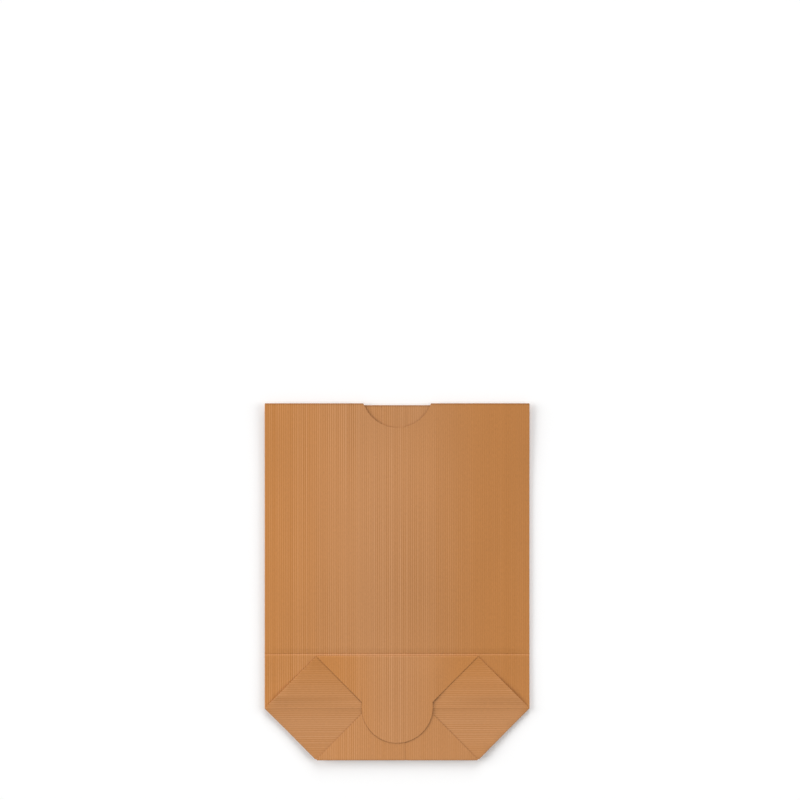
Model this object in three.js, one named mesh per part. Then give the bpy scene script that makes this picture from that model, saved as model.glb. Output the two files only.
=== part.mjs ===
// A flat-packed brown kraft paper bag with a glued cross bottom, lying on its back with the bottom folded
// up against the front. It is one sheet of paper. Its long edges are lapped and glued into a tube, the
// tube's end is opened out, its corners are squashed into two pockets, and two flaps are turned in over
// them, the upper one with a round tongue that closes the bottom.
// Millimetres. +X runs across the bag, +Y from the bottom to the mouth, +Z up from the table.
// The origin is on the table, under the middle of the bag's outline.
import * as THREE from "three";
import { mergeGeometries, mergeVertices } from "three/addons/utils/BufferGeometryUtils.js";

// Driving dimensions. Widths and lengths run between fold lines.
const bagWidth = 140; // side fold to side fold
const bagLength = 189; // mouth to bottom fold, with the bottom folded up flat
const bottomDepth = 56; // front to back across the base that the bag stands on
const thumbRadius = 19; // the round knife that cuts the thumb notch and the next bag's tongue
const thumbRise = 6; // how far past the mouth the knife's centre is set
const tongueLap = 13; // how far the tongue is glued over the lower flap
const tongueMargin = 2; // the least distance from the tongue's tip to the bottom fold
const mouthStep = 0.5; // the back is cut this much lower than the front
const seamLap = 12; // the glued lengthwise seam in the back
const seamEdgeX = 4; // where the seam's outer edge lies
const seamRamp = 2; // over which the under ply comes down beside that edge
const paper = 0.1; // thickness of the sheet
const glue = 0.05; // between layers that are glued together
const air = 0.2; // between layers that are only pressed flat
const frontPuff = 1.8; // how far the relaxed front stands off the back in the middle
const mouthPuff = 1.2; // the same at the mouth
const puffRun = 36; // the length over which the front rises from the cross crease
const mouthRun = 50; // the length over which it comes down again to the mouth
const creaseRise = 0.5; // the front's cross crease, above the bottom's upper fold
const creaseWidth = 1.5; // on each side of a crease line that stays in a flat layer
const ridgeHeight = 0.2; // of the old side fold, where it crosses a pocket

// The folded base, about its own centre line at y = 0.
const sideX = bagWidth / 2;
const foldY = bottomDepth / 2;
const baseX = sideX - foldY; // half the length of the upper and lower folds
const flapLength = baseX - thumbRadius;
const tongueLength = Math.min(bottomDepth - 2 * flapLength + tongueLap, bottomDepth - flapLength - tongueMargin);
const mouthY = bagLength - foldY;
const creaseY = foldY + creaseRise;
const creaseDip = air / 4;

// The height of the middle of each layer, from the table up.
const backZ = paper / 2;
const frontZ = backZ + paper + air;
const turnedZ = frontZ + paper + air;
const pocketZ = turnedZ + paper + air;
const cornerZ = pocketZ + paper + glue;
const lowerFlapZ = cornerZ + paper + glue;
const upperFlapZ = lowerFlapZ + paper + glue;

// How finely the curved faces are cut.
const foldSteps = 6; // round half a turn
const notchSteps = 14; // round the thumb notch
const besideSteps = 6; // across the front on each side of the notch
const bodySteps = 14; // along the body, above the cross crease

// The way that the sheet's outer side looks in a flat layer.
const up = new THREE.Vector3(0, 0, 1);
const down = new THREE.Vector3(0, 0, -1);

// The front's columns, across the bag. They gather round the notch, where each ends on the knife's cut.
const notchX = Math.sqrt(thumbRadius ** 2 - thumbRise ** 2);
const notchAngle = Math.asin(notchX / thumbRadius);
const columns = [
  ...steps(besideSteps, -sideX, -notchX).slice(0, -1),
  ...steps(notchSteps, -notchAngle, notchAngle).map((angle) => thumbRadius * Math.sin(angle)),
  ...steps(besideSteps, notchX, sideX).slice(1),
];

function steps(count, from, to) {
  return Array.from({ length: count + 1 }, (_, i) => THREE.MathUtils.lerp(from, to, i / count));
}

// A place in the sheet: where its middle passes, and which way its outer side looks there.
function place(x, y, z, face) {
  return { at: new THREE.Vector3(x, y, z), face };
}

// A piece of the sheet, given as rows of places with as many in each.
function weave(rows) {
  const piece = new THREE.PlaneGeometry(1, 1, rows[0].length - 1, rows.length - 1);
  rows.flat().forEach(({ at, face }, i) => {
    piece.attributes.position.setXYZ(i, at.x, at.y, at.z);
    piece.attributes.normal.setXYZ(i, face.x, face.y, face.z);
  });
  return piece.deleteAttribute("uv");
}

// The sheet's way round a fold, from a place in one layer to the place over it in a higher one.
// outward points from the bag across the fold.
function bend(low, high, outward) {
  const radius = (high.at.z - low.at.z) / 2;
  return steps(foldSteps, -Math.PI / 2, Math.PI / 2).map((angle, i) => {
    const way = outward.clone().multiplyScalar(Math.cos(angle)).addScaledVector(up, Math.sin(angle));
    const at = low.at.clone().lerp(high.at, i / foldSteps).setZ(low.at.z + radius);
    return { at: at.addScaledVector(way, radius), face: way.multiplyScalar(-low.face.z) };
  });
}

// The same for a whole row: the rows of the fold, from the lower layer's to the higher one's.
function foldRows(lowRow, highRow, outward) {
  const bends = lowRow.map((low, i) => bend(low, highRow[i], outward));
  return bends[0].map((_, i) => bends.map((turn) => turn[i]));
}

// A straight fold between two layers, along an edge that they share. The bag lies to its right.
function fold(from, to, [lowZ, lowFace], [highZ, highFace]) {
  const outward = new THREE.Vector3(from[1] - to[1], to[0] - from[0], 0).normalize();
  const row = (z, face) => [place(...from, z, face), place(...to, z, face)];
  return weave(foldRows(row(lowZ, lowFace), row(highZ, highFace), outward));
}

// A flat layer, as a strip between two rows of points.
function panel(first, second, z, face) {
  return weave([first, second].map((row) => row.map(([x, y]) => place(x, y, z, face))));
}

// How far the front is lifted by the air in the relaxed bag, and let down along the cross crease.
function frontLift(x, y) {
  const climb = THREE.MathUtils.clamp((y - creaseY) / puffRun, 0, 1);
  const closing = THREE.MathUtils.smoothstep(y, mouthY - mouthRun, mouthY);
  const puff = THREE.MathUtils.lerp(frontPuff, mouthPuff, closing) * (1 - (1 - climb) ** 2);
  const dip = creaseDip * Math.max(0, 1 - Math.abs(y - creaseY) / creaseWidth);
  return (puff - dip) * (1 - (x / sideX) ** 2);
}

// The front's cut edge, with the thumb notch.
function mouthEdge(x) {
  const cut = Math.sqrt(Math.max(0, thumbRadius ** 2 - x ** 2));
  return Math.min(mouthY, mouthY + thumbRise - cut);
}

// A row across the back wall, or across the flap that goes on from it. It runs from the seam's outer
// edge to one side, and from the other side back to the seam's inner edge, which lies over the outer ply.
function backRow(y, halfWidth, z, face) {
  const under = z - face.z * (paper + glue);
  const outer = [place(seamEdgeX, y, z, face), place(-halfWidth, y, z, face)];
  const inner = [
    place(halfWidth, y, z, face),
    place(seamEdgeX + seamRamp, y, z, face),
    place(seamEdgeX, y, under, face),
    place(seamEdgeX - seamLap, y, under, face),
  ];
  return [outer, inner];
}

// A row round the tube, from the seam's outer edge to its inner edge. endingAt gives the row's y in a
// column of the sheet that ends at a given y.
function bodyRow(endingAt) {
  const [outer, inner] = backRow(endingAt(mouthY - mouthStep), sideX, backZ, down);
  const front = columns.map((x) => {
    const y = endingAt(mouthEdge(x));
    return place(x, y, frontZ + frontLift(x, y), up);
  });
  const left = bend(outer.at(-1), front[0], new THREE.Vector3(-1, 0, 0));
  const right = bend(inner[0], front.at(-1), new THREE.Vector3(1, 0, 0)).reverse();
  return [...outer.slice(0, -1), ...left, ...front.slice(1, -1), ...right, ...inner.slice(1)];
}

// The tube's walls, from the base's centre line to the mouth.
function body() {
  const crease = [0, creaseY - creaseWidth, creaseY].map((y) => bodyRow(() => y));
  const aboveCrease = creaseY + creaseWidth;
  const wall = steps(bodySteps, 0, 1).map((share) => bodyRow((end) => THREE.MathUtils.lerp(aboveCrease, end, share)));
  return weave([...crease, ...wall]);
}

// A row across the front wall's part of the base, which is flat there.
function frontRow(xs, ys, z, face) {
  return xs.map((x, i) => place(x, ys[i], z, face));
}

// The front wall turned up along the centre line, and the upper flap turned in with its tongue.
function frontStrip() {
  const level = (y) => columns.map(() => y);
  const flapEnd = foldY - flapLength;
  const round = Math.min(thumbRadius, tongueLength);
  const foldXs = columns.map((x) => (x * baseX) / sideX);
  const angles = steps(columns.length - 1, -Math.PI / 2, Math.PI / 2);
  const tongueXs = angles.map((angle) => thumbRadius * Math.sin(angle));
  const tongueYs = angles.map((angle) => flapEnd - tongueLength + round * (1 - Math.cos(angle)));
  const turn = foldRows(
    frontRow(columns, level(0), frontZ, up),
    frontRow(columns, level(0), turnedZ, down),
    new THREE.Vector3(0, -1, 0),
  );
  const flapFold = foldRows(
    frontRow(foldXs, level(foldY), turnedZ, down),
    frontRow(foldXs, level(foldY), upperFlapZ, up),
    new THREE.Vector3(0, 1, 0),
  );
  const flap = [level(flapEnd), tongueYs].map((ys) => frontRow(tongueXs, ys, upperFlapZ, up));
  return weave([...turn, ...flapFold, ...flap]);
}

// The back wall's tapered end and the lower flap turned in from it, on both sides of the seam's edge.
function backStrips() {
  const root = backRow(0, sideX, backZ, down);
  const low = backRow(-foldY, baseX, backZ, down);
  const high = backRow(-foldY, baseX, lowerFlapZ, up);
  const end = backRow(-foldY + flapLength, thumbRadius, lowerFlapZ, up);
  const outward = new THREE.Vector3(0, -1, 0);
  return [0, 1].map((ply) => weave([root[ply], ...foldRows(low[ply], high[ply], outward), end[ply]]));
}

// A pocket on the left: the tube's corner squashed flat, with its outer side up and the old side fold
// as a ridge from its tip. Its upper and lower ends are folded under, into the corners of the flaps.
function pocket() {
  const tip = place(-sideX, 0, pocketZ, up);
  const cut = (y, lift = 0) => place(-thumbRadius, y, pocketZ + lift, up);
  const corner = (y) => place(-baseX, y, pocketZ, up);
  const squashed = weave([
    [corner(-foldY), cut(-foldY)],
    [tip, cut(-creaseWidth)],
    [tip, cut(0, ridgeHeight)],
    [tip, cut(creaseWidth)],
    [corner(foldY), cut(foldY)],
  ]);
  const foldedUnder = (side) => {
    const [point, foldEnd] = [[-baseX, side * foldY], [-thumbRadius, side * foldY]];
    return panel([point, foldEnd], [point, [-thumbRadius, side * (foldY - flapLength)]], cornerZ, down);
  };
  return [squashed, foldedUnder(-1), foldedUnder(1)];
}

// The folds along a left pocket's edges.
function pocketFolds() {
  const tip = [-sideX, 0];
  const [lowCorner, lowCut, lowEnd] = [[-baseX, -foldY], [-thumbRadius, -foldY], [-thumbRadius, flapLength - foldY]];
  const [topCorner, topCut, topEnd] = [[-baseX, foldY], [-thumbRadius, foldY], [-thumbRadius, foldY - flapLength]];
  const [back, turned, squashed] = [[backZ, down], [turnedZ, down], [pocketZ, up]];
  const [corner, lowerFlap, upperFlap] = [[cornerZ, down], [lowerFlapZ, up], [upperFlapZ, up]];
  return [
    fold(lowCorner, tip, back, squashed),
    fold(tip, topCorner, turned, squashed),
    fold(lowCut, lowCorner, squashed, corner),
    fold(topCorner, topCut, squashed, corner),
    fold(lowCorner, lowEnd, corner, lowerFlap),
    fold(topEnd, topCorner, corner, upperFlap),
  ];
}

// The same piece of the sheet on the other side of the bag.
function mirrored(piece) {
  const copy = piece.clone();
  for (const { array } of [copy.attributes.position, copy.attributes.normal]) {
    for (let i = 0; i < array.length; i += 3) array[i] = -array[i];
  }
  return copy;
}

// The sheet's faces as corner numbers, each turned to look the way that the sheet's outer side does.
function outerFaces(sheet) {
  const { position, normal } = sheet.attributes;
  const vector = (attribute, i) => new THREE.Vector3().fromBufferAttribute(attribute, i);
  const faces = [];
  for (let i = 0; i < sheet.index.count; i += 3) {
    const [a, b, c] = sheet.index.array.slice(i, i + 3);
    if (a === b || b === c || c === a) continue;
    const [pointA, pointB, pointC] = [a, b, c].map((corner) => vector(position, corner));
    const way = new THREE.Triangle(pointA, pointB, pointC).getNormal(new THREE.Vector3());
    const outer = vector(normal, a).add(vector(normal, b)).add(vector(normal, c));
    faces.push(way.dot(outer) > 0 ? [a, b, c] : [a, c, b]);
  }
  return faces;
}

// The paper itself: the sheet's middle given its thickness, and closed along every cut edge.
function thicken(sheet) {
  const { position, normal } = sheet.attributes;
  const count = position.count;
  const points = [];
  for (const side of [1, -1]) {
    for (let i = 0; i < count; i++) {
      const out = new THREE.Vector3().fromBufferAttribute(normal, i);
      const point = new THREE.Vector3().fromBufferAttribute(position, i).addScaledVector(out, (side * paper) / 2);
      points.push(point.x, point.y, point.z);
    }
  }
  const faces = outerFaces(sheet);
  const edges = faces.flatMap(([a, b, c]) => [[a, b], [b, c], [c, a]]);
  const known = new Set(edges.map(([a, b]) => `${a},${b}`));
  const cuts = edges.filter(([a, b]) => !known.has(`${b},${a}`));
  const index = [
    ...faces,
    ...faces.map(([a, b, c]) => [a + count, c + count, b + count]),
    ...cuts.flatMap(([a, b]) => [[b, a, a + count], [b, a + count, b + count]]),
  ];
  const solid = new THREE.BufferGeometry();
  solid.setAttribute("position", new THREE.Float32BufferAttribute(points, 3));
  solid.setIndex(index.flat());
  return solid;
}

function bagGeometry() {
  const left = [...pocket(), ...pocketFolds()];
  const pieces = [body(), frontStrip(), ...backStrips(), ...left, ...left.map(mirrored)];
  const geometry = thicken(mergeVertices(mergeGeometries(pieces)));
  geometry.computeBoundingBox();
  const { min, max } = geometry.boundingBox;
  geometry.translate(-(min.x + max.x) / 2, -(min.y + max.y) / 2, -min.z);
  geometry.computeVertexNormals();
  return geometry;
}

const kraft = new THREE.MeshStandardMaterial({ color: 0xc08654, roughness: 0.62, metalness: 0, name: "kraft_paper" });
const paperBag = new THREE.Mesh(bagGeometry(), kraft);
paperBag.name = "paper_bag";

const part = new THREE.Group();
part.add(paperBag);

export default part;
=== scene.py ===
import math
import bpy
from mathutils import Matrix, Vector


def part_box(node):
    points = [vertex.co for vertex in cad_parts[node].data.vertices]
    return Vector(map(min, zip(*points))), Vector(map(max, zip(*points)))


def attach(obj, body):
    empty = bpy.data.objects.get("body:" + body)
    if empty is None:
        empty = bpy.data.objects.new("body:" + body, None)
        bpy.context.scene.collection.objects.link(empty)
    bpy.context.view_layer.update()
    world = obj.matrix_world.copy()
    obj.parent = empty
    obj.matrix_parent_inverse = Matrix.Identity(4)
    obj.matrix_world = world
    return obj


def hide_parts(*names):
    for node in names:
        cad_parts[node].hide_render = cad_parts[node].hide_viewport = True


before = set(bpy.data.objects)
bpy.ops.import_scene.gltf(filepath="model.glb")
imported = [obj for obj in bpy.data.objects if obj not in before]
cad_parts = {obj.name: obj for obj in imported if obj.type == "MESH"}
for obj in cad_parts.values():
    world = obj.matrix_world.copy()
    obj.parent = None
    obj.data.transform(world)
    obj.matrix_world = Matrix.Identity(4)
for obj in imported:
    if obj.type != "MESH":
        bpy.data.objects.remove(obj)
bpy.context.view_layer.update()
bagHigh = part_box("paper_bag")[1]

# everything is in metres, the bag lies on its back with its mouth towards +Y

bagSize = {
    "width": 0.140,            # side fold to side fold
    "length": 0.18878,         # mouth to bottom fold
    "depth": 0.0544,           # of the base, front to back
    "knifeRadius": 0.01885,    # cuts the thumb notch and the tongue
    "knifeRise": 0.006,        # knife centre past the mouth
    "tongueLap": 0.0151,       # tongue over the lower flap
    "mouthStep": 0.0010,       # back is cut lower than the front
    "seamEdge": 0.004,         # outer edge of the back seam
    "seamLap": 0.012,
    "seamRamp": 0.002,
    "pocketTab": 0.0015,       # of each pocket's cut end, under the tongue's sides
    "tabHalf": 0.005,
    "ribs": 121,               # across one wall
    "ribHeight": 0.000024,     # of each rib, above and below the sheet's middle
    "paper": 0.0001,
}

# heights of the flat layers, table to top
layerHeights = {
    "back": 0.00008,
    "seam": 0.00024,           # under ply of the seam, inside
    "front": 0.00050,
    "turned": 0.00070,         # front wall turned up over itself
    "pocket": 0.00087,
    "corner": 0.00102,         # pocket corners folded under
    "lowerFlap": 0.00117,
    "upperFlap": 0.00120,
}

# how the relaxed paper springs away from flat
springShape = {
    "frontPuff": 0.0027,       # front wall over the back, in the middle
    "mouthLeft": 0.00018,      # the same at the mouth, left and right of the notch
    "mouthRight": -0.00022,
    "mouthBurr": 0.00032,      # the cut edges of the mouth turn up
    "mouthBurrRun": 0.0006,
    "notchEdgeRun": 0.002,     # over which the back's turned-up edge begins beside the notch
    "puffRun": 0.055,          # from the cross crease up
    "puffPower": 2.2,          # the higher, the closer to the side folds the front stays up
    "mouthRun": 0.060,         # over which it comes down again to the mouth
    "mouthFlat": 0.010,        # the last of it, which is down already
    "mouthTurn": 0.044,        # from mouthLeft across to mouthRight
    "creaseSharp": 0.00032,    # bend of the cross crease, right beside it
    "creaseSharpRun": 0.00030,
    "creaseAbove": 0.6,        # share of that bend on the mouth's side
    "creaseAboveRun": 0.020,   # over which the rest of it follows
    "creaseSoft": 0.00034,     # and further up the front wall
    "creaseSoftRun": 0.0031,
    "creaseSoftSides": 4,      # how soon it begins from the side folds
    "leftLift": 0.0020,        # side folds off the table
    "rightLift": 0.0009,
    "sidePower": 5,            # the higher, the nearer to the fold that lift stays
    "bottomLift": 0.0026,      # bottom fold off the table
    "bottomPower": 4,
    "mouthLift": 0.0019,
    "basePuff": 0.25,          # share that the base's layers spread in the middle
    "ridge": 0.00032,          # old side fold across a pocket
    "ridgeAbove": 0.0045,
    "ridgeBelow": 0.0010,
    "ridgeEnd": 0.008,         # over which it starts from the pocket's tip
    "leftCorner": 0.0008,      # upper edges of the pockets off the front wall
    "rightCorner": 0.0009,
    "cornerSteep": 4,          # how soon they rise from the base's centre line
    "cornerFade": 0.9,         # share by which they come down again, from where and over how much
    "cornerFadeFrom": 0.25,
    "cornerFadeRun": 0.6,
    "cornerFrom": 0.020,       # how far out they begin to rise, and over how much
    "cornerRun": 0.025,
    "tongueLeft": 0.00016,     # upper flap and tongue off the layers below
    "tongueRight": 0.0006,
    "tongueTurn": (-0.010, 0.028),       # where the right one's share starts, and over how much
    "tongueTip": 0.00045,
    "tongueTipRun": (0.002, 0.016),      # the same towards the tip, from the centre line
    "tongueRoot": 0.010,       # over which it rises from the upper fold
    "flapFade": 0.007,         # over which the flap comes down beside the tongue
    "foldBulge": 0.75,         # pressed bottom fold, share of a round one
    "flapBulge": 0.35,         # and the flaps' slanting folds
}

seamStep = layerHeights["seam"] - layerHeights["back"]
foldSteps = 6                  # faces round half a turn
flapSteps = (0.0008, 0.002, 0.004, 0.008, 0.014)     # rows of a flap, from its fold
creaseSteps = (-0.010, -0.004, -0.0018, -0.001, -0.0005, -0.0002, 0, 0.0002, 0.0005, 0.001, 0.0026, 0.0031,
               0.0036, 0.008)

halfWidth = bagSize["width"] / 2
halfDepth = bagSize["depth"] / 2
foldHalf = halfWidth - halfDepth                      # half the upper and lower folds
flapLength = foldHalf - bagSize["knifeRadius"]
tongueLength = bagSize["depth"] - 2 * flapLength + bagSize["tongueLap"]
mouthY = bagHigh.y
centreY = mouthY - bagSize["length"] + halfDepth      # centre line of the base
upperY = centreY + halfDepth
lowerY = centreY - halfDepth
creaseY = upperY + 0.0012                             # cross crease of the front wall
tubeEnd = halfDepth + flapLength                      # centre line to the tube's cut end
leftFold = halfWidth + bagSize["seamEdge"]            # seam edge to left fold, round the sheet
columnStep = bagSize["width"] / bagSize["ribs"] / 4
wallRows = 13                  # from the last crease row to the mouth
tongueRows = 9
pocketColumns = 8
notchReach = 0.03              # how far below the mouth the rows give way to the notch
sameLine = 2e-6                # how near a point counts as on a line or on a layer
samePoint = 3e-6               # and as the same point
backRows = 0.0014              # rows this near the mouth move with the back wall's end


def onColumn(distance):
    # the nearest column of the ribs, counted from a side fold
    return columnStep * round(distance / columnStep)


def flapRow(distance):
    # the same, counted from a flap's fold, so that its rows meet the pocket's at their shared fold
    return onColumn(halfDepth + distance) - halfDepth


def selectNothing():
    bpy.ops.object.select_all(action="DESELECT")


def takeUp(piece):
    # selects one piece and nothing else
    selectNothing()
    piece.select_set(True)
    bpy.context.view_layer.objects.active = piece


def selectWhere(piece, test, kind="VERT"):
    # selects the mesh's points, or its open edges, that pass a test of place
    bpy.ops.object.mode_set(mode="OBJECT")
    mesh = piece.data
    uses = {}
    for polygon in mesh.polygons:
        for key in polygon.edge_keys:
            uses[key] = uses.get(key, 0) + 1
    for part in (mesh.vertices, mesh.edges, mesh.polygons):
        part.foreach_set("select", [False] * len(part))
    if kind == "VERT":
        for vertex in mesh.vertices:
            vertex.select = test(vertex.co)
    else:
        for edge in mesh.edges:
            ends = [mesh.vertices[i] for i in edge.vertices]
            edge.select = uses.get(edge.key, 0) == 1 and all(test(end.co) for end in ends)
            if edge.select:
                for end in ends:
                    end.select = True
    bpy.ops.object.mode_set(mode="EDIT")
    bpy.ops.mesh.select_mode(type=kind)


def ribbedPanel(name, left, right, low, high, height, lines=(), alongX=False):
    # a flat panel of the sheet, with four columns to each rib and the cross lines asked for
    wide, tall = right - left, high - low
    ribsSpan = tall if alongX else wide
    columns = max(1, round(ribsSpan / columnStep))
    span = columns * columnStep
    selectNothing()
    bpy.ops.mesh.primitive_grid_add(
        x_subdivisions=1 if alongX else columns, y_subdivisions=columns if alongX else 1,
        size=1, location=(0, 0, 0))
    panel = bpy.context.object
    panel.name = name
    bpy.ops.object.mode_set(mode="EDIT")
    bpy.ops.mesh.select_all(action="SELECT")
    bpy.ops.transform.resize(value=(wide, span, 1) if alongX else (span, tall, 1))
    bpy.ops.transform.translate(value=((left + right) / 2, (low + high) / 2, height))
    for place in lines:
        bpy.ops.mesh.select_all(action="SELECT")
        across = (1, 0, 0) if alongX else (0, 1, 0)
        point = (place, 0, 0) if alongX else (0, place, 0)
        bpy.ops.mesh.bisect(plane_co=point, plane_no=across)
    bpy.ops.object.mode_set(mode="OBJECT")
    return panel


def trim(panel, point, outward):
    # cuts away what lies past a straight line
    takeUp(panel)
    bpy.ops.object.mode_set(mode="EDIT")
    bpy.ops.mesh.select_all(action="SELECT")
    bpy.ops.mesh.bisect(
        plane_co=(point[0], point[1], 0), plane_no=(outward[0], outward[1], 0), clear_outer=True)
    bpy.ops.object.mode_set(mode="OBJECT")


def turnOver(panel):
    # the paper's outer side looks down
    takeUp(panel)
    bpy.ops.object.mode_set(mode="EDIT")
    bpy.ops.mesh.select_all(action="SELECT")
    bpy.ops.mesh.flip_normals()
    bpy.ops.object.mode_set(mode="OBJECT")


def layOut(panel, across, along, pocket=0):
    # remembers where each point lies in the unfolded sheet, and whether it is in a pocket
    mesh = panel.data
    for name, rule in (("sheetAcross", across), ("sheetAlong", along), ("sheetPocket", lambda x, y: pocket)):
        layer = mesh.attributes.new(name, "FLOAT", "POINT")
        layer.data.foreach_set("value", [rule(v.co.x, v.co.y) for v in mesh.vertices])


def splitAtSeam(panel, lift):
    # ends the panel at the seam's outer edge, and makes the other ply, which runs on beside it
    edge, ramp = bagSize["seamEdge"], bagSize["seamRamp"]
    takeUp(panel)
    bpy.ops.object.duplicate()
    inner = bpy.context.object
    trim(panel, (edge, 0), (1, 0))
    trim(inner, (edge - bagSize["seamLap"], 0), (-1, 0))
    for place in (edge, edge + ramp):
        selectWhere(inner, lambda co: True)
        bpy.ops.mesh.bisect(plane_co=(place, 0, 0), plane_no=(1, 0, 0))
    bpy.ops.object.mode_set(mode="OBJECT")
    for vertex in inner.data.vertices:
        past = (edge + ramp - vertex.co.x) / ramp
        vertex.co.z += lift * min(1, max(0, past))
    return inner


def frontAcross(x, y):
    return leftFold + halfWidth + x


def backLeftAcross(x, y):
    return bagSize["seamEdge"] - x


def backRightAcross(x, y):
    return leftFold + bagSize["width"] + halfWidth - x


def wallAlong(x, y):
    return tubeEnd + y - centreY


def makeWalls():
    # the flattened tube and the parts of its walls that make the base
    rows = [creaseY + step for step in creaseSteps]
    rows += [rows[-1] + (mouthY - rows[-1]) * i / wallRows for i in range(1, wallRows)]
    rows += [mouthY - step * springShape["mouthBurrRun"] for step in (2, 1)]
    front = ribbedPanel("frontWall", -halfWidth, halfWidth, centreY, mouthY, layerHeights["front"], rows)
    layOut(front, frontAcross, wallAlong)
    height = layerHeights["back"]
    back = ribbedPanel("backWall", -halfWidth, halfWidth, lowerY, mouthY, height, [centreY] + rows)
    for side in (-1, 1):
        trim(back, (side * halfWidth, centreY), (side, -1))
    underPly = splitAtSeam(back, seamStep)
    layOut(back, backLeftAcross, wallAlong)
    layOut(underPly, backRightAcross, wallAlong)
    for wall in (back, underPly):
        turnOver(wall)
    cutNotch(front)
    return [front, back, underPly]


def cutNotch(front):
    # pulls the rows near the mouth down to the knife's round cut
    radius, rise = bagSize["knifeRadius"], bagSize["knifeRise"]
    start = mouthY - notchReach
    for vertex in front.data.vertices:
        x, y = vertex.co.x, vertex.co.y
        if abs(x) < radius and y > start:
            cut = min(mouthY, mouthY + rise - math.sqrt(radius ** 2 - x ** 2))
            vertex.co.y = start + (y - start) * (cut - start) / (mouthY - start)


def makeBaseFront():
    # the front wall turned up, the upper flap turned in, and its tongue
    turned = ribbedPanel("turnedUp", -halfWidth, halfWidth, centreY, upperY, layerHeights["turned"])
    layOut(turned, frontAcross, lambda x, y: tubeEnd - (y - centreY))
    flapEnd = upperY - flapLength
    height = layerHeights["upperFlap"]
    rows = [upperY - flapRow(step) for step in flapSteps]
    flap = ribbedPanel("upperFlap", -halfWidth, halfWidth, flapEnd, upperY, height, rows)
    layOut(flap, frontAcross, lambda x, y: flapLength - (upperY - y))
    for side in (-1, 1):
        trim(turned, (side * halfWidth, centreY), (side, 1))
        trim(flap, (side * foldHalf, upperY), (side, -1))
    radius = bagSize["knifeRadius"]
    tip = flapEnd - tongueLength
    rows = [tip + tongueLength * i / tongueRows for i in range(1, tongueRows)]
    tongue = ribbedPanel("tongue", -halfWidth, halfWidth, tip, flapEnd, height, rows)
    for side in (-1, 1):
        trim(tongue, (side * radius, 0), (side, 0))
    for vertex in tongue.data.vertices:
        end = tip + radius - math.sqrt(max(0, radius ** 2 - vertex.co.x ** 2))
        vertex.co.y = flapEnd + (vertex.co.y - flapEnd) * (end - flapEnd) / (tip - flapEnd)
    layOut(tongue, frontAcross, lambda x, y: flapLength - (upperY - y))
    turnOver(turned)
    return [turned, flap, tongue]


def makeLowerFlap():
    # turned in from the back wall, with the seam in it
    end = lowerY + flapLength
    height = layerHeights["lowerFlap"]
    rows = [lowerY + flapRow(step) for step in flapSteps]
    outer = ribbedPanel("lowerFlap", -halfWidth, halfWidth, lowerY, end, height, rows)
    for side in (-1, 1):
        trim(outer, (side * foldHalf, lowerY), (side, 1))
    inner = splitAtSeam(outer, -seamStep)
    layOut(outer, backLeftAcross, lambda x, y: flapLength - (y - lowerY))
    layOut(inner, backRightAcross, lambda x, y: flapLength - (y - lowerY))
    return [outer, inner]


def keepTab(pocket, side):
    # the cut end steps in, save for a tab at the centre line
    radius, half = bagSize["knifeRadius"], bagSize["tabHalf"]
    selectWhere(pocket, lambda co: False)
    bpy.ops.mesh.select_mode(type="FACE")
    bpy.ops.object.mode_set(mode="OBJECT")
    for face in pocket.data.polygons:
        face.select = side * face.center.x < radius and abs(face.center.y - centreY) > half
    bpy.ops.object.mode_set(mode="EDIT")
    bpy.ops.mesh.delete(type="FACE")
    bpy.ops.object.mode_set(mode="OBJECT")


def makePocket(side):
    # the tube's corner squashed flat, and its two ends folded under
    radius = bagSize["knifeRadius"]
    inner = radius - bagSize["pocketTab"]
    left, right = sorted((side * inner, side * halfWidth))
    fold = leftFold if side < 0 else leftFold + bagSize["width"]

    def pocketAcross(x, y):
        return fold - side * (y - centreY)

    def pocketAlong(x, y):
        return tubeEnd - (halfWidth - abs(x))

    steps = [onColumn((halfWidth - radius) * i / pocketColumns) for i in range(1, pocketColumns)]
    columns = [side * (halfWidth - step) for step in steps] + [side * radius]
    reach = onColumn(halfDepth) + 2 * columnStep
    low, high = centreY - reach, centreY + reach
    height = layerHeights["pocket"]
    pocket = ribbedPanel("pocket", left, right, low, high, height, columns, alongX=True)
    trim(pocket, (0, upperY), (0, 1))
    trim(pocket, (0, lowerY), (0, -1))
    for way in (-1, 1):
        trim(pocket, (side * halfWidth, centreY), (side, way))
    keepTab(pocket, side)
    layOut(pocket, pocketAcross, pocketAlong, 1)
    pieces = [pocket]
    for way, foldAt in ((1, upperY), (-1, lowerY)):
        height = layerHeights["corner"]
        corner = ribbedPanel("pocketCorner", left, right, low, high, height, columns, alongX=True)
        for vertex in corner.data.vertices:
            vertex.co.y = 2 * foldAt - vertex.co.y
        trim(corner, (side * radius, 0), (-side, 0))
        trim(corner, (0, foldAt), (0, way))
        trim(corner, (side * foldHalf, foldAt), (side, -way))
        layOut(corner, lambda x, y, foldAt=foldAt: pocketAcross(x, 2 * foldAt - y), pocketAlong)
        pieces.append(corner)
    return pieces


def joinPieces(pieces, name):
    selectNothing()
    for piece in pieces:
        piece.select_set(True)
    bpy.context.view_layer.objects.active = pieces[0]
    bpy.ops.object.join()
    sheet = bpy.context.object
    sheet.name = name
    return sheet


def nearLine(start, end):
    # a test for points on the straight line between two places
    first, last = Vector(start).to_2d(), Vector(end).to_2d()
    way = (last - first).normalized()
    length = (last - first).length

    def test(co):
        offset = co.to_2d() - first
        along = offset.dot(way)
        return abs(offset.cross(way)) < sameLine and -sameLine < along < length + sameLine
    return test


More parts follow.
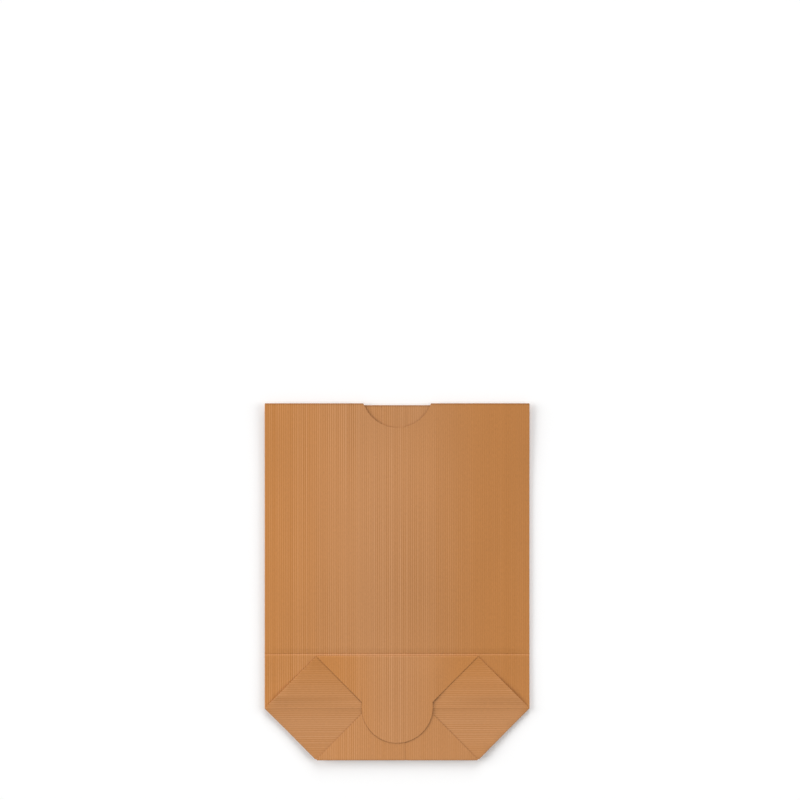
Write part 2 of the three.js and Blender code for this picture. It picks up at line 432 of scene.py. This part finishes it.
def foldOver(sheet, start, end, low, high):
    # spins the lower layer's open edge half a turn, up to the higher layer's edge
    onLine = nearLine(start, end)
    plies = seamStep if low == layerHeights["back"] else 0
    selectWhere(sheet, lambda co: onLine(co) and -sameLine < co.z - low < plies + sameLine, "EDGE")
    way = (Vector(end) - Vector(start)).normalized()
    centre = (start[0], start[1], (low + high) / 2)
    bpy.ops.mesh.spin(steps=foldSteps, angle=math.pi, center=centre, axis=(-way.x, -way.y, 0))


def makeSheet():
    pieces = makeWalls() + makeBaseFront() + makeLowerFlap() + makePocket(-1) + makePocket(1)
    sheet = joinPieces(pieces, "paperBag")
    print("panels laid out:", len(sheet.data.polygons), "faces")
    h = layerHeights
    radius = bagSize["knifeRadius"]
    ends = {
        "mouthLeft": (-halfWidth, mouthY), "mouthRight": (halfWidth, mouthY),
        "tipLeft": (-halfWidth, centreY), "tipRight": (halfWidth, centreY),
        "lowLeft": (-foldHalf, lowerY), "lowRight": (foldHalf, lowerY),
        "topLeft": (-foldHalf, upperY), "topRight": (foldHalf, upperY),
        "lowCutLeft": (-radius, lowerY), "lowCutRight": (radius, lowerY),
        "topCutLeft": (-radius, upperY), "topCutRight": (radius, upperY),
        "lowEndLeft": (-radius, lowerY + flapLength), "lowEndRight": (radius, lowerY + flapLength),
        "topEndLeft": (-radius, upperY - flapLength), "topEndRight": (radius, upperY - flapLength),
    }

    def fold(start, end, low, high):
        foldOver(sheet, (*ends[start], 0), (*ends[end], 0), h[low], h[high])

    fold("tipLeft", "mouthLeft", "back", "front")
    fold("mouthRight", "tipRight", "back", "front")
    fold("tipRight", "tipLeft", "front", "turned")
    fold("lowLeft", "tipLeft", "back", "pocket")
    fold("tipRight", "lowRight", "back", "pocket")
    fold("tipLeft", "topLeft", "turned", "pocket")
    fold("topRight", "tipRight", "turned", "pocket")
    fold("lowCutLeft", "lowLeft", "pocket", "corner")
    fold("lowRight", "lowCutRight", "pocket", "corner")
    fold("topLeft", "topCutLeft", "pocket", "corner")
    fold("topCutRight", "topRight", "pocket", "corner")
    fold("lowLeft", "lowEndLeft", "corner", "lowerFlap")
    fold("lowEndRight", "lowRight", "corner", "lowerFlap")
    fold("topEndLeft", "topLeft", "corner", "upperFlap")
    fold("topRight", "topEndRight", "corner", "upperFlap")
    fold("topLeft", "topRight", "turned", "upperFlap")
    fold("lowRight", "lowLeft", "back", "lowerFlap")
    bpy.ops.mesh.select_all(action="SELECT")
    bpy.ops.mesh.remove_doubles(threshold=samePoint)
    bpy.ops.object.mode_set(mode="OBJECT")
    print("folds spun:", len(sheet.data.polygons), "faces")
    return sheet


def sheetValues(mesh, name):
    values = [0.0] * len(mesh.vertices)
    mesh.attributes[name].data.foreach_get("value", values)
    return values


def ease(value):
    value = min(1, max(0, value))
    return value * value * (3 - 2 * value)


def wallSpring(x, y):
    # lift of the front wall, and of all that lies on it
    shape = springShape
    past = y - creaseY
    side = max(0, 1 - abs(x / halfWidth) ** shape["puffPower"])
    bend = 1 - math.exp(-abs(past) / shape["creaseSharpRun"])
    if past > 0:
        bend *= shape["creaseAbove"] + (1 - shape["creaseAbove"]) * ease(past / shape["creaseAboveRun"])
    lift = shape["creaseSharp"] * bend
    if past > 0:
        closing = ease((y - mouthY + shape["mouthRun"]) / (shape["mouthRun"] - shape["mouthFlat"]))
        leftShare = ease(0.5 - x / shape["mouthTurn"])
        mouth = shape["mouthRight"] + (shape["mouthLeft"] - shape["mouthRight"]) * leftShare
        puff = shape["frontPuff"] + (mouth - shape["frontPuff"]) * closing
        soft = shape["creaseSoft"] * min(1, past / shape["creaseSoftRun"]) * (1 - closing)
        opening = ease(past / shape["puffRun"])
        lift += soft * min(1, shape["creaseSoftSides"] * side)
        lift += (puff - shape["creaseSoft"] * (1 - closing)) * opening * side
    return lift


def cornerSpring(x, y):
    # lift of the pockets' upper edges, which hinge on the base's centre line
    shape = springShape
    up = (y - centreY) / halfDepth
    rise = shape["rightCorner"] if x > 0 else shape["leftCorner"]
    rise *= ease(shape["cornerSteep"] * up)
    rise *= 1 - shape["cornerFade"] * ease((up - shape["cornerFadeFrom"]) / shape["cornerFadeRun"])
    return rise * ease((abs(x) - shape["cornerFrom"]) / shape["cornerRun"])


def ridgeSpring(x, y):
    # the old side fold, where it crosses a pocket
    shape = springShape
    past = y - centreY
    run = shape["ridgeAbove"] if past > 0 else shape["ridgeBelow"]
    ends = ease((halfWidth - abs(x)) / shape["ridgeEnd"])
    return shape["ridge"] * math.exp(-abs(past) / run) * ends


def tongueSpring(x, y):
    # lift of the upper flap and the tongue
    shape = springShape
    turn, turnRun = shape["tongueTurn"]
    tip, tipRun = shape["tongueTipRun"]
    rise = shape["tongueLeft"] + (shape["tongueRight"] - shape["tongueLeft"]) * ease((x - turn) / turnRun)
    rise *= 1 - ease((abs(x) - bagSize["knifeRadius"]) / shape["flapFade"])
    rise += (shape["tongueTip"] - rise) * ease((centreY - tip - y) / tipRun)
    return rise * ease((upperY - y) / shape["tongueRoot"])


def burrSpring(x, y, front):
    # cut edge of the front wall, and of the back wall where the notch shows it
    shape = springShape
    edge = mouthY - bagSize["mouthStep"] * (1 - front)
    seen = max(front, ease((bagSize["knifeRadius"] - abs(x)) / shape["notchEdgeRun"]))
    return shape["mouthBurr"] * seen * max(0, 1 - (edge - y) / shape["mouthBurrRun"])


def share(z, low, high):
    low, high = layerHeights[low], layerHeights[high]
    return min(1, max(0, (z - low) / (high - low)))


def relax(sheet):
    # lets the flat layers spring up; what lies higher rises with what it lies on
    shape = springShape
    heights = layerHeights
    mesh = sheet.data
    for vertex, inPocket in zip(mesh.vertices, sheetValues(mesh, "sheetPocket")):
        x, y, z = vertex.co
        spread = max(0, 1 - ((y - centreY) / halfDepth) ** 2) * max(0, 1 - (x / halfWidth) ** 2)
        rise = shape["basePuff"] * spread * (z - heights["back"])
        rise += share(z, "seam", "front") * wallSpring(x, y)
        if y > centreY:
            rise += share(z, "front", "turned") * cornerSpring(x, y)
        if y < upperY:
            below = "corner" if y > lowerY + flapLength + 1e-6 else "lowerFlap"
            rise += share(z, below, "upperFlap") * tongueSpring(x, y)
        if abs(x) > bagSize["knifeRadius"] or inPocket == 1:
            rise += share(z, "turned", "pocket") * ridgeSpring(x, y)
        sideLift = shape["rightLift"] if x > 0 else shape["leftLift"]
        sideLift *= abs(x / halfWidth) ** shape["sidePower"]
        if y < 0:
            endLift = shape["bottomLift"] * (y / mouthY) ** shape["bottomPower"]
        else:
            endLift = shape["mouthLift"] * ease((y - mouthY + shape["mouthRun"]) / shape["mouthRun"])
            rise += burrSpring(x, y, share(z, "seam", "front"))
        rise += math.hypot(sideLift, endLift)
        vertex.co.z = z + rise
        if y < lowerY:
            vertex.co.y = lowerY - (lowerY - y) * shape["foldBulge"]
        elif z > heights["corner"]:
            slant = (abs(x) - foldHalf - abs(y - centreY) + halfDepth) / 2
            if slant > 0 and halfDepth - flapLength < abs(y - centreY) < halfDepth:
                pull = slant * (1 - shape["flapBulge"])
                vertex.co.x -= math.copysign(pull, x)
                vertex.co.y += math.copysign(pull, y - centreY)
    print("paper relaxed")


def stepMouth(sheet):
    # the back wall ends a little lower than the front
    for vertex in sheet.data.vertices:
        if vertex.co.y > mouthY - backRows:
            vertex.co.y -= bagSize["mouthStep"] * (1 - share(vertex.co.z, "seam", "front"))


def raiseRibs(sheet):
    # ribs run the length of the sheet, and follow it round every fold
    mesh = sheet.data
    across = sheetValues(mesh, "sheetAcross")
    pitch = bagSize["width"] / bagSize["ribs"]
    normals = [vertex.normal.copy() for vertex in mesh.vertices]
    for vertex, place, normal in zip(mesh.vertices, across, normals):
        vertex.co += normal * bagSize["ribHeight"] * math.cos(2 * math.pi * (place - leftFold) / pitch)
    print("ribs raised")


def mapSheet(sheet):
    # the unfolded sheet, in metres, is the paper's own map
    mesh = sheet.data
    across, along = sheetValues(mesh, "sheetAcross"), sheetValues(mesh, "sheetAlong")
    layer = mesh.uv_layers.active or mesh.uv_layers.new()
    layer.name = "flatSheet"
    for loop, spot in zip(mesh.loops, layer.data):
        spot.uv = (across[loop.vertex_index], along[loop.vertex_index])


def giveThickness(sheet):
    takeUp(sheet)
    solidify = sheet.modifiers.new("paper", "SOLIDIFY")
    solidify.thickness = bagSize["paper"]
    solidify.offset = 0
    bpy.ops.object.modifier_apply(modifier=solidify.name)
    bpy.ops.object.shade_smooth_by_angle(angle=math.radians(paperLook["smoothAngle"]))
    print("paper is", len(sheet.data.polygons), "faces")


paperLook = {
    "warm": (0.524, 0.209, 0.050),        # beside the folds, away from the painted sheen
    "sheenAndWear": (0.532, 0.241, 0.089),      # paler colour of the painted sheen in the middle of each wall, which the worn rib crests also pale towards
    "sheenShift": 0.010,                 # of the painted sheen's middle, towards the left fold
    "baseSheenBand": 0.079,                    # from one painted sheen band to the next in the base
    "crestPale": 1.2,                     # how much paler the ribs' crests are worn
    "ribPale": 0.5,                       # and some whole ribs
    "ribAmount": 0.24,                    # shares by which the tone changes
    "ribTones": 0.08,                     # from rib to rib
    "streakAmount": 0.04,
    "sideLightAmount": 0.11,                   # painted side light, lighter at the left fold and darker round at the right fold
    "cloudAmount": 0.04,
    "fibreAmount": 0.12,
    "fleckAmount": 0.08,
    "roughness": 0.5,
    "fibreBump": 0.2,
    "fibreHeight": 0.00005,
    "smoothAngle": 50,                    # degrees, below which an edge is smooth
}


def addSocket(group, name, kind, way="INPUT", value=None):
    socket = group.interface.new_socket(name=name, in_out=way, socket_type=kind)
    if value is not None:
        socket.default_value = value


def newGroup(name, inputs, outputs):
    # a shader group with a place input, the numbers asked for and its outputs
    group = bpy.data.node_groups.new(name, "ShaderNodeTree")
    addSocket(group, "Place", "NodeSocketVector")
    for label, value in inputs.items():
        addSocket(group, label, "NodeSocketFloat", value=value)
    for label in outputs:
        addSocket(group, label, "NodeSocketFloat", "OUTPUT")
    return group, group.nodes.new("NodeGroupInput").outputs, group.nodes.new("NodeGroupOutput").inputs


def calculate(tree, kind, first, second=None, third=None):
    # one Math node; each value is a number or a socket
    node = tree.nodes.new("ShaderNodeMath")
    node.operation = kind
    for socket, value in zip(node.inputs, (first, second, third)):
        if isinstance(value, (int, float)):
            socket.default_value = value
        elif value is not None:
            tree.links.new(value, socket)
    return node.outputs["Value"]


def addNoise(tree, place, stretch, detail, roughness=0.5):
    # noise with so many features to a metre each way, from 0 to 1
    mapping = tree.nodes.new("ShaderNodeMapping")
    mapping.inputs["Scale"].default_value = (stretch[0], stretch[1], 1)
    noise = tree.nodes.new("ShaderNodeTexNoise")
    noise.inputs["Scale"].default_value = 1
    noise.inputs["Detail"].default_value = detail
    noise.inputs["Roughness"].default_value = roughness
    tree.links.new(place, mapping.inputs["Vector"])
    tree.links.new(mapping.outputs["Vector"], noise.inputs["Vector"])
    return noise.outputs["Fac"]


def spreadOut(tree, value, low, high):
    node = tree.nodes.new("ShaderNodeMapRange")
    node.inputs["From Min"].default_value = low
    node.inputs["From Max"].default_value = high
    tree.links.new(value, node.inputs["Value"])
    return node.outputs["Result"]


def paperFibres():
    # fibres laid along the sheet, a slow clouding of the pulp and a few dark flecks
    group, given, made = newGroup("paperFibres", {}, ("Fibres", "Clouds", "Flecks"))
    place = given["Place"]
    links = group.links
    links.new(spreadOut(group, addNoise(group, place, (2600, 560), 3), 0.25, 0.75), made["Fibres"])
    links.new(spreadOut(group, addNoise(group, place, (45, 14), 3), 0.3, 0.7), made["Clouds"])
    links.new(spreadOut(group, addNoise(group, place, (900, 700), 1), 0.68, 0.78), made["Flecks"])
    return group


def ribLines():
    # 1 on each rib's crest and 0 in its valley, a tone of each rib's own, streaks that run with the ribs,
    # and painted sheen bands that are 1 in the middle of each wall, and in the base near the old side folds
    # too, and a painted side light
    numbers = {"Pitch": 0.001, "Start": 0, "Wall": 0.14, "Shift": 0.01, "Base Sheen Band": 0.076, "Base End": 0.05}
    tree, given, made = newGroup("ribLines", numbers, ("Crests", "Tones", "Streaks", "Sheen Bands", "Side Light"))
    links = tree.links
    place = given["Place"]
    split = tree.nodes.new("ShaderNodeSeparateXYZ")
    links.new(place, split.inputs["Vector"])
    across, along = split.outputs["X"], split.outputs["Y"]

    def wave(distance, period):
        turns = calculate(tree, "DIVIDE", distance, period)
        return calculate(tree, "COSINE", calculate(tree, "MULTIPLY", turns, 2 * math.pi))

    fromFold = calculate(tree, "SUBTRACT", across, given["Start"])
    fromMiddle = calculate(tree, "SUBTRACT", fromFold, calculate(tree, "MULTIPLY", given["Wall"], 0.5))
    wallSheenBand = spreadOut(tree, wave(calculate(tree, "ADD", fromMiddle, given["Shift"]), given["Wall"]), -1, 1)
    baseSheenBand = spreadOut(tree, wave(fromMiddle, given["Base Sheen Band"]), -1, 1)
    # past the side folds, which are half a wall from its middle, the base's painted sheen band goes on at a
    # steady share
    wallsOut = calculate(tree, "ABSOLUTE", calculate(tree, "DIVIDE", fromMiddle, given["Wall"]))
    backShare = calculate(tree, "MULTIPLY", spreadOut(tree, wallsOut, 0.5, 0.64), 0.7)
    baseSheenBand = calculate(tree, "MAXIMUM", baseSheenBand, backShare)
    inBase = spreadOut(tree, calculate(tree, "SUBTRACT", given["Base End"], along), -0.002, 0.004)
    change = calculate(tree, "MULTIPLY", calculate(tree, "SUBTRACT", baseSheenBand, wallSheenBand), inBase)
    sheenBands = calculate(tree, "ADD", wallSheenBand, change)
    links.new(sheenBands, made["Sheen Bands"])
    # painted side light: lighter towards the left fold and darker towards the right, round the tube
    side = calculate(tree, "MULTIPLY", wave(fromFold, calculate(tree, "MULTIPLY", given["Wall"], 2)), 0.5)
    # the pockets are the base's parts near the old side folds, where the painted side light is near its ends;
    # in them it follows the painted sheen bands instead
    nearFold = calculate(tree, "GREATER_THAN", calculate(tree, "ABSOLUTE", side), 0.41)
    inPocket = calculate(tree, "MULTIPLY", inBase, nearFold)
    side = calculate(tree, "MULTIPLY_ADD", side, calculate(tree, "SUBTRACT", 1, inPocket), 0.5)
    outer = calculate(tree, "MULTIPLY", inPocket, calculate(tree, "MULTIPLY_ADD", sheenBands, 0.5, -0.5))
    side = calculate(tree, "ADD", side, outer)
    links.new(side, made["Side Light"])

    patches = spreadOut(tree, addNoise(tree, place, (60, 12), 2), 0.25, 0.65)
    # the ribs are strongest on the left, with the painted side light, and in the painted sheen bands, and
    # come and go in long patches
    strength = calculate(tree, "MULTIPLY_ADD", side, 0.6, calculate(tree, "MULTIPLY_ADD", sheenBands, 0.3, 0.25))
    strength = calculate(tree, "MULTIPLY", patches, strength)
    halfStrength = calculate(tree, "MULTIPLY", strength, 0.5)
    crest = calculate(tree, "MULTIPLY", wave(fromFold, given["Pitch"]), halfStrength)
    links.new(calculate(tree, "ADD", crest, 0.5), made["Crests"])
    ribTone = tree.nodes.new("ShaderNodeTexWhiteNoise")
    ribTone.noise_dimensions = "1D"
    ribNumber = calculate(tree, "ROUND", calculate(tree, "DIVIDE", fromFold, given["Pitch"]))
    links.new(ribNumber, ribTone.inputs["W"])
    tone = calculate(tree, "MULTIPLY", calculate(tree, "SUBTRACT", ribTone.outputs["Value"], 0.5), strength)
    links.new(calculate(tree, "ADD", tone, 0.5), made["Tones"])
    links.new(spreadOut(tree, addNoise(tree, place, (620, 4), 2), 0.25, 0.75), made["Streaks"])
    return tree


def placeGroup(material, group, place, **numbers):
    node = material.node_tree.nodes.new("ShaderNodeGroup")
    node.node_tree = group
    material.node_tree.links.new(place, node.inputs["Place"])
    for name, value in numbers.items():
        node.inputs[name].default_value = value
    return node.outputs


def kraftPaper():
    look = paperLook
    material = bpy.data.materials.new("kraftPaper")
    material.use_nodes = True
    tree = material.node_tree
    shader = tree.nodes["Principled BSDF"]
    flat = tree.nodes.new("ShaderNodeUVMap")
    flat.uv_map = "flatSheet"
    place = flat.outputs["UV"]
    fibres = placeGroup(material, paperFibres(), place)
    pitch = bagSize["width"] / bagSize["ribs"]
    numbers = {"Pitch": pitch, "Start": leftFold, "Wall": bagSize["width"]}
    numbers.update({"Shift": look["sheenShift"], "Base Sheen Band": look["baseSheenBand"], "Base End": tubeEnd})
    ribs = placeGroup(material, ribLines(), place, **numbers)
    ground = tree.nodes.new("ShaderNodeMix")
    ground.data_type = "RGBA"
    ground.inputs["A"].default_value = (*look["warm"], 1)
    ground.inputs["B"].default_value = (*look["sheenAndWear"], 1)
    ground.clamp_factor = False
    # painted sheen: the sheen bands, with the ribs' worn crests and their own tones, mix the warm colour
    # towards the pale one
    sheenAndWear = ribs["Sheen Bands"]
    for mask, amount in ((ribs["Crests"], "crestPale"), (ribs["Tones"], "ribPale")):
        change = calculate(tree, "SUBTRACT", mask, 0.5)
        sheenAndWear = calculate(tree, "MULTIPLY_ADD", change, look[amount], sheenAndWear)
    tree.links.new(sheenAndWear, ground.inputs["Factor"])
    tone = 1
    # the tone takes in the painted side light, besides the ribs, streaks, clouds and fibres
    shares = (
        (ribs["Crests"], "ribAmount"), (ribs["Tones"], "ribTones"), (ribs["Streaks"], "streakAmount"),
        (ribs["Side Light"], "sideLightAmount"), (fibres["Clouds"], "cloudAmount"), (fibres["Fibres"], "fibreAmount"))
    for mask, amount in shares:
        change = calculate(tree, "MULTIPLY", calculate(tree, "SUBTRACT", mask, 0.5), look[amount])
        tone = calculate(tree, "ADD", tone, change)
    flecks = calculate(tree, "MULTIPLY", fibres["Flecks"], look["fleckAmount"])
    tone = calculate(tree, "SUBTRACT", tone, flecks)
    toned = tree.nodes.new("ShaderNodeMix")
    toned.data_type = "RGBA"
    toned.blend_type = "MULTIPLY"
    toned.inputs["Factor"].default_value = 1
    tree.links.new(ground.outputs["Result"], toned.inputs["A"])
    tree.links.new(tone, toned.inputs["B"])
    tree.links.new(toned.outputs["Result"], shader.inputs["Base Color"])
    shader.inputs["Roughness"].default_value = look["roughness"]
    bump = tree.nodes.new("ShaderNodeBump")
    bump.inputs["Strength"].default_value = look["fibreBump"]
    bump.inputs["Distance"].default_value = look["fibreHeight"]
    tree.links.new(fibres["Fibres"], bump.inputs["Height"])
    tree.links.new(bump.outputs["Normal"], shader.inputs["Normal"])
    return material


def makeBag():
    bag = makeSheet()
    stepMouth(bag)
    relax(bag)
    mapSheet(bag)
    raiseRibs(bag)
    giveThickness(bag)
    bag.data.materials.clear()
    bag.data.materials.append(kraftPaper())
    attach(bag, "root")
    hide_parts("paper_bag")


stageLook = {
    "floorSize": 3.0,
    "floorGrey": 0.96,
    "floorGlow": 0.05,                   # what the camera sees on top of it
    "worldLight": 0.32,
    # each lamp's share of the light on the table, where it stands and how high, and its width
    "leftLamp": (0.29, 172, 28, 40),
    "farLamp": (0.22, 85, 32, 40),
    "rightLamp": (0.17, 5, 32, 35),
}

viewShape = {
    "pixel": 0.0005317,                  # of the picture, at the bag
    "bagCentre": (397.15, 581.7),        # pixels, from the picture's top left
    "picture": 800,
    "lens": 100,
    "sensor": 36,
}


def makeFloor():
    look = stageLook
    selectNothing()
    bpy.ops.mesh.primitive_plane_add(size=look["floorSize"], location=(0, 0, 0))
    floor = bpy.context.object
    floor.name = "floor"
    material = bpy.data.materials.new("paleFloor")
    material.use_nodes = True
    nodes, links = material.node_tree.nodes, material.node_tree.links
    shader = nodes["Principled BSDF"]
    shader.inputs["Base Color"].default_value = (look["floorGrey"],) * 3 + (1,)
    shader.inputs["Roughness"].default_value = 1
    shader.inputs["Specular IOR Level"].default_value = 0
    path = nodes.new("ShaderNodeLightPath")
    links.new(path.outputs["Is Camera Ray"], shader.inputs["Emission Strength"])
    shader.inputs["Emission Color"].default_value = (look["floorGlow"],) * 3 + (1,)
    floor.data.materials.append(material)


def makeLights():
    look = stageLook
    world = bpy.context.scene.world or bpy.data.worlds.new("studio")
    bpy.context.scene.world = world
    world.use_nodes = True
    background = world.node_tree.nodes["Background"]
    background.inputs["Color"].default_value = (1, 1, 1, 1)
    background.inputs["Strength"].default_value = look["worldLight"]
    for name in ("leftLamp", "farLamp", "rightLamp"):
        level, round, height, wide = look[name]
        lamp = bpy.data.lights.new(name, "SUN")
        lamp.energy = level * math.pi / math.sin(math.radians(height))
        lamp.angle = math.radians(wide)
        holder = bpy.data.objects.new(name, lamp)
        bpy.context.scene.collection.objects.link(holder)
        holder.rotation_euler = (0, math.radians(90 - height), math.radians(round))


def makeCamera():
    # straight above, set off so that the bag lies low in the picture
    shape = viewShape
    middle = shape["picture"] / 2
    pixelX, pixelY = shape["bagCentre"]
    x = (middle - pixelX) * shape["pixel"]
    y = (pixelY - middle) * shape["pixel"]
    width = shape["picture"] * shape["pixel"]
    camera = bpy.data.cameras.new("camera")
    camera.lens = shape["lens"]
    camera.sensor_width = shape["sensor"]
    holder = bpy.data.objects.new("camera", camera)
    bpy.context.scene.collection.objects.link(holder)
    holder.location = (x, y, width * shape["lens"] / shape["sensor"])
    bpy.context.scene.camera = holder


makeCamera()
makeLights()
makeFloor()
makeBag()
bpy.context.scene.view_settings.view_transform = "Standard"
